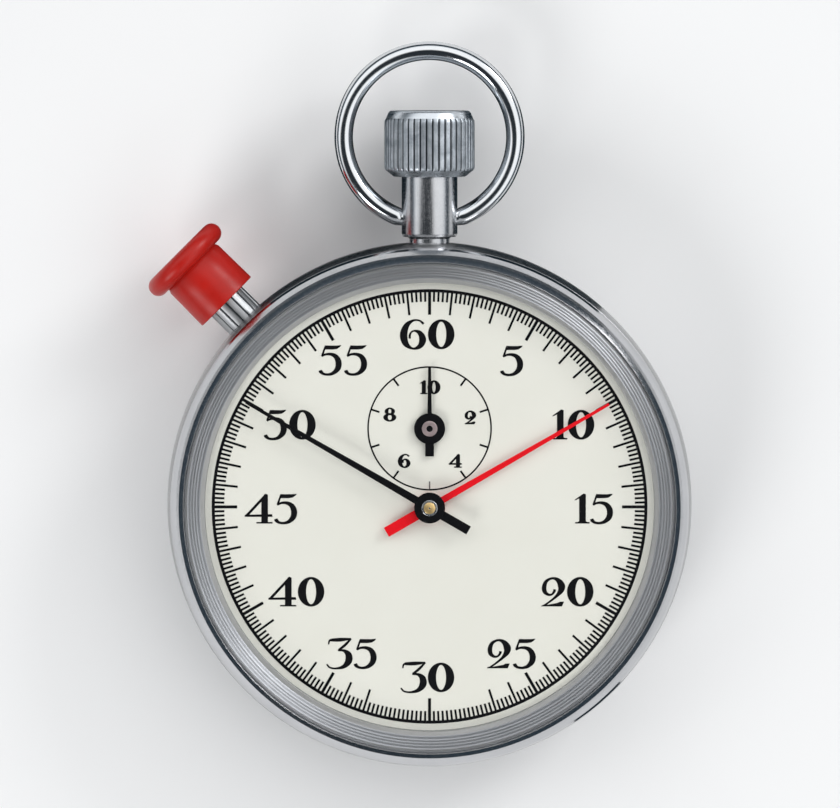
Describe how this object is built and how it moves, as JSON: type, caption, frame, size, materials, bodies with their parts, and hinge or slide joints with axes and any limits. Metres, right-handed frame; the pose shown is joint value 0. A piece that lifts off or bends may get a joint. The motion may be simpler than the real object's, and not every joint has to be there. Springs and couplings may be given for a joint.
{
  "type": "mechanical stopwatch",
  "caption": "Hand-wound split-seconds stopwatch in a round case, with a pressable winding crown, a red side pusher, a swinging bow and a geared movement.",
  "frame": {"origin": "centre of the flat rest face of the back cover", "axes": "+Z out of the dial, +Y from the dial's centre to the crown at twelve o'clock, +X to three o'clock"},
  "size_m": [0.057, 0.076, 0.017],
  "materials": {
    "chrome": "polished chrome plate",
    "satin_steel": "satin steel",
    "inner_steel": "turned steel, fine rings",
    "crystal": "clear domed acrylic",
    "red_plastic": "glossy moulded plastic",
    "dial_enamel": "ivory enamel paint",
    "black_lacquer": "gloss black lacquer",
    "red_lacquer": "gloss red lacquer",
    "gilt_brass": "gilt, fine grained",
    "wheel_brass": "polished",
    "blued_steel": "heat-blued steel",
    "polished_steel": "polished steel",
    "ruby": "synthetic ruby",
    "grey_ring": "plain turned"
  },
  "bodies": {
    "case": {"case_band": "chrome", "bezel": "chrome", "inner_ring": "inner_steel", "crystal": "crystal", "back_cover": "chrome", "pendant": "satin_steel", "pusher_guide": "satin_steel", "dial": "dial_enamel", "movement_ring": "grey_ring", "main_plate": "gilt_brass", "barrel_bridge": "gilt_brass", "train_bridge": "gilt_brass", "balance_cock": "gilt_brass", "pallet_bridge": "gilt_brass", "bridge_screws": "blued_steel", "jewels": "ruby", "regulator": "polished_steel", "hairspring": "blued_steel", "click_spring": "polished_steel"},
    "bow": {"bow": "chrome"},
    "crown_push": {"crown_sleeve": "polished_steel"},
    "crown": {"crown": "satin_steel", "winding_stem": "polished_steel"},
    "pusher": {"pusher_cap": "red_plastic", "pusher_plunger": "polished_steel"},
    "click": {"click": "polished_steel"},
    "winding_pinion": {"winding_pinion": "polished_steel"},
    "crown_wheel": {"crown_wheel": "polished_steel"},
    "barrel_arbor": {"barrel_arbor": "polished_steel", "ratchet_wheel": "polished_steel", "ratchet_screw": "blued_steel"},
    "barrel": {"barrel_drum": "wheel_brass", "barrel_cover": "wheel_brass", "mainspring": "blued_steel"},
    "second": {"second_wheel": "wheel_brass"},
    "third": {"third_wheel": "wheel_brass"},
    "sweep": {"sweep_arbor": "polished_steel", "sweep_wheel": "wheel_brass", "sweep_heart": "polished_steel", "sweep_hand": "black_lacquer"},
    "escape": {"escape_wheel": "wheel_brass"},
    "fork": {"pallet_fork": "polished_steel", "pallet_stones": "ruby"},
    "balance": {"balance_wheel": "wheel_brass", "balance_staff": "polished_steel", "impulse_pin": "ruby"},
    "intermediate": {"intermediate_wheel": "wheel_brass"},
    "minute": {"minute_wheel": "wheel_brass", "minute_heart": "polished_steel", "minute_hand": "black_lacquer"},
    "split": {"split_wheel": "wheel_brass", "split_heart": "polished_steel", "split_hand": "red_lacquer"},
    "clamp_left": {"split_clamp_left": "polished_steel"},
    "clamp_right": {"split_clamp_right": "polished_steel"},
    "split_column": {"split_column_wheel": "polished_steel"},
    "operating_lever": {"operating_lever": "polished_steel"},
    "column": {"column_wheel": "polished_steel"},
    "hammer": {"reset_hammer": "polished_steel"}
  },
  "joints": [
    {"name": "bow_swing", "type": "hinge", "parent": "case", "child": "bow", "pos_m": [0, 0.03007, 0.0075], "axis": [1, 0, 0], "range_deg": [-90, 90]},
    {"name": "crown_press", "type": "slide", "parent": "case", "child": "crown_push", "axis": [0, -1, 0], "range_m": [0, 0.0012], "stiffness_N_per_m": 800, "springref_m": -0.0015},
    {"name": "crown_spin", "type": "hinge", "parent": "crown_push", "child": "crown", "pos_m": [0, 0.03, 0.0075], "axis": [0, 1, 0], "continuous": true},
    {"name": "pusher_press", "type": "slide", "parent": "case", "child": "pusher", "axis": [0.7071, -0.7071, 0], "range_m": [0, 0.0015], "stiffness_N_per_m": 400, "springref_m": -0.0015},
    {"name": "click_lift", "type": "hinge", "parent": "case", "child": "click", "pos_m": [0.0189, -0.0008, 0], "axis": [0, 0, 1], "range_deg": [-8, 0]},
    {"name": "winding_pinion_spin", "type": "hinge", "parent": "case", "child": "winding_pinion", "pos_m": [0, 0.0204, 0.0075], "axis": [0, 1, 0], "continuous": true},
    {"name": "crown_wheel_spin", "type": "hinge", "parent": "case", "child": "crown_wheel", "pos_m": [0, 0.0153, 0], "axis": [0, 0, 1], "continuous": true},
    {"name": "barrel_arbor_spin", "type": "hinge", "parent": "case", "child": "barrel_arbor", "pos_m": [0.0115, 0.0075, 0], "axis": [0, 0, 1], "continuous": true},
    {"name": "barrel_spin", "type": "hinge", "parent": "case", "child": "barrel", "pos_m": [0.0115, 0.0075, 0], "axis": [0, 0, 1], "continuous": true},
    {"name": "second_spin", "type": "hinge", "parent": "case", "child": "second", "pos_m": [0.00938, -0.00042, 0], "axis": [0, 0, 1], "continuous": true},
    {"name": "third_spin", "type": "hinge", "parent": "case", "child": "third", "pos_m": [0.00416, -0.00538, 0], "axis": [0, 0, 1], "continuous": true},
    {"name": "sweep_spin", "type": "hinge", "parent": "case", "child": "sweep", "pos_m": [0, 0, 0], "axis": [0, 0, 1], "continuous": true},
    {"name": "escape_spin", "type": "hinge", "parent": "case", "child": "escape", "pos_m": [-0.00424, -0.00506, 0], "axis": [0, 0, 1], "continuous": true},
    {"name": "fork_rock", "type": "hinge", "parent": "case", "child": "fork", "pos_m": [-0.00669, -0.00751, 0], "axis": [0, 0, 1], "range_deg": [-4, 4]},
    {"name": "balance_swing", "type": "hinge", "parent": "case", "child": "balance", "pos_m": [-0.0098, -0.01062, 0], "axis": [0, 0, 1], "range_deg": [-135, 135]},
    {"name": "intermediate_spin", "type": "hinge", "parent": "case", "child": "intermediate", "pos_m": [0.00086, 0.00411, 0], "axis": [0, 0, 1], "continuous": true},
    {"name": "minute_spin", "type": "hinge", "parent": "case", "child": "minute", "pos_m": [0, 0.00822, 0], "axis": [0, 0, 1], "continuous": true},
    {"name": "split_spin", "type": "hinge", "parent": "case", "child": "split", "pos_m": [0, 0, 0], "axis": [0, 0, 1], "continuous": true},
    {"name": "clamp_left_open", "type": "hinge", "parent": "case", "child": "clamp_left", "pos_m": [-0.00475, -0.00395, 0], "axis": [0, 0, 1], "range_deg": [0, 4]},
    {"name": "clamp_right_open", "type": "hinge", "parent": "case", "child": "clamp_right", "pos_m": [0.00475, -0.00395, 0], "axis": [0, 0, 1], "range_deg": [-4, 0]},
    {"name": "split_column_step", "type": "hinge", "parent": "case", "child": "split_column", "pos_m": [-0.0102, 0.0096, 0], "axis": [0, 0, 1], "range_deg": [0, 30.01]},
    {"name": "operating_lever_swing", "type": "hinge", "parent": "case", "child": "operating_lever", "pos_m": [0.0084, 0.019, 0], "axis": [0, 0, 1], "range_deg": [0, 9.2]},
    {"name": "column_step", "type": "hinge", "parent": "case", "child": "column", "pos_m": [-0.0086, 0.0146, 0], "axis": [0, 0, 1], "range_deg": [0, 30.01]},
    {"name": "hammer_swing", "type": "hinge", "parent": "case", "child": "hammer", "pos_m": [-0.002, -0.014, 0], "axis": [0, 0, 1], "range_deg": [-2.6, 0]}
  ],
  "couplings": [
    {"joint": "winding_pinion_spin", "follows": "crown_spin", "ratio": 1},
    {"joint": "crown_wheel_spin", "follows": "crown_spin", "ratio": 0.41667},
    {"joint": "barrel_arbor_spin", "follows": "crown_spin", "ratio": -0.34091},
    {"joint": "escape_spin", "follows": "sweep_spin", "ratio": -10},
    {"joint": "third_spin", "follows": "sweep_spin", "ratio": -0.13333},
    {"joint": "second_spin", "follows": "sweep_spin", "ratio": 0.016667},
    {"joint": "barrel_spin", "follows": "sweep_spin", "ratio": -0.0023148},
    {"joint": "intermediate_spin", "follows": "sweep_spin", "ratio": -0.25},
    {"joint": "minute_spin", "follows": "sweep_spin", "ratio": 0.1},
    {"joint": "operating_lever_swing", "follows": "crown_press", "rad_per_m": 132.5},
    {"joint": "column_step", "follows": "crown_press", "rad_per_m": 436.33},
    {"joint": "clamp_left_open", "follows": "pusher_press", "rad_per_m": 45.379},
    {"joint": "clamp_right_open", "follows": "pusher_press", "rad_per_m": -45.379},
    {"joint": "split_column_step", "follows": "pusher_press", "rad_per_m": 349.07}
  ]
}
